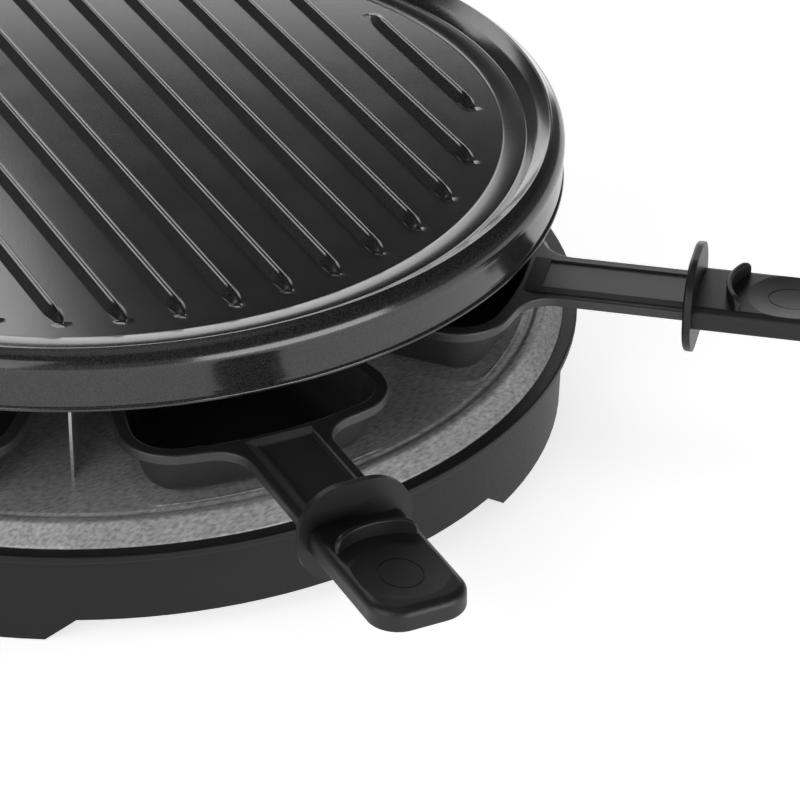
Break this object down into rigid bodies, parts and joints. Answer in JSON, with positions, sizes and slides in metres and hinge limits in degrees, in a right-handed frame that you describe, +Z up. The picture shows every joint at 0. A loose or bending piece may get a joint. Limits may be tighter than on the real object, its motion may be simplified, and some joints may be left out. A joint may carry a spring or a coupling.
{
  "type": "raclette grill",
  "caption": "Round table-top raclette grill: a ribbed non-stick plate over a ring of radial pan bays with long-handled pans that slide in below the heater.",
  "frame": {"origin": "on the table, under the middle of the whole grill with its pans in place; the round body's own axis stands 32.4 mm behind it, at +Y", "axes": "+Z up out of the grill plate, -Y towards the user side between the two front pans, +Y towards the control housing at the back, +X to the right seen from the front"},
  "size_m": [0.5294, 0.4288, 0.1086],
  "materials": {
    "plate_coat": "satin black non-stick coat with a fine sparkle",
    "pan_coat": "smooth satin black non-stick coat",
    "grip_plastic": "fine-grained matte black",
    "housing_plastic": "fine-grained matte black",
    "deck_steel": "dull zinc-coated sheet with grey speckle",
    "bracket_steel": "plain sheet steel",
    "fastener_steel": "zinc-coated",
    "heater_tube": "dark oxidised steel tube",
    "pad_rubber": "matte",
    "lens_plastic": "clear red",
    "lamp_glass": "clear",
    "block_plastic": "off-white",
    "fuse_metal": "plain"
  },
  "bodies": {
    "base": {"base_housing": "housing_plastic", "rubber_feet": "pad_rubber", "deck_plate": "deck_steel", "deck_studs": "fastener_steel", "stud_nuts": "fastener_steel", "bracket_right": "bracket_steel", "bracket_left": "bracket_steel", "bracket_pins": "fastener_steel", "heating_element": "heater_tube", "heater_pins": "fastener_steel", "heat_shield": "bracket_steel", "shield_rivets": "fastener_steel", "control_housing": "housing_plastic", "control_screws": "fastener_steel", "thermostat": "block_plastic", "lamp_lens": "lens_plastic", "pilot_lamp": "lamp_glass", "terminal_block": "block_plastic", "terminal_screws": "fastener_steel", "thermal_fuse": "fuse_metal", "cord_bushing": "pad_rubber"},
    "plate": {"grill_plate": "plate_coat"},
    "dial": {"dial": "housing_plastic", "dial_shaft": "fastener_steel"},
    "pan_1": {"pan_1": "pan_coat", "pan_grip_1": "grip_plastic", "pan_screw_1": "fastener_steel"},
    "pan_2": {"pan_2": "pan_coat", "pan_grip_2": "grip_plastic", "pan_screw_2": "fastener_steel"},
    "pan_3": {"pan_3": "pan_coat", "pan_grip_3": "grip_plastic", "pan_screw_3": "fastener_steel"},
    "pan_4": {"pan_4": "pan_coat", "pan_grip_4": "grip_plastic", "pan_screw_4": "fastener_steel"},
    "pan_5": {"pan_5": "pan_coat", "pan_grip_5": "grip_plastic", "pan_screw_5": "fastener_steel"},
    "pan_6": {"pan_6": "pan_coat", "pan_grip_6": "grip_plastic", "pan_screw_6": "fastener_steel"}
  },
  "joints": [
    {"name": "plate_lift", "type": "slide", "parent": "base", "child": "plate", "axis": [0, 0, 1], "range_m": [0, 0.12]},
    {"name": "dial_turn", "type": "hinge", "parent": "base", "child": "dial", "pos_m": [0, 0.1994, 0.064], "axis": [0, -1, 0], "range_deg": [0, 270]},
    {"name": "pan_1_slide", "type": "slide", "parent": "base", "child": "pan_1", "axis": [-0.7818, 0.6235, 0], "range_m": [0, 0.13]},
    {"name": "pan_2_slide", "type": "slide", "parent": "base", "child": "pan_2", "axis": [-0.9749, -0.2225, 0], "range_m": [0, 0.13]},
    {"name": "pan_3_slide", "type": "slide", "parent": "base", "child": "pan_3", "axis": [-0.4339, -0.901, 0], "range_m": [0, 0.13]},
    {"name": "pan_4_slide", "type": "slide", "parent": "base", "child": "pan_4", "axis": [0.4339, -0.901, 0], "range_m": [0, 0.13]},
    {"name": "pan_5_slide", "type": "slide", "parent": "base", "child": "pan_5", "axis": [0.9749, -0.2225, 0], "range_m": [0, 0.13]},
    {"name": "pan_6_slide", "type": "slide", "parent": "base", "child": "pan_6", "axis": [0.7818, 0.6235, 0], "range_m": [0, 0.13]}
  ]
}
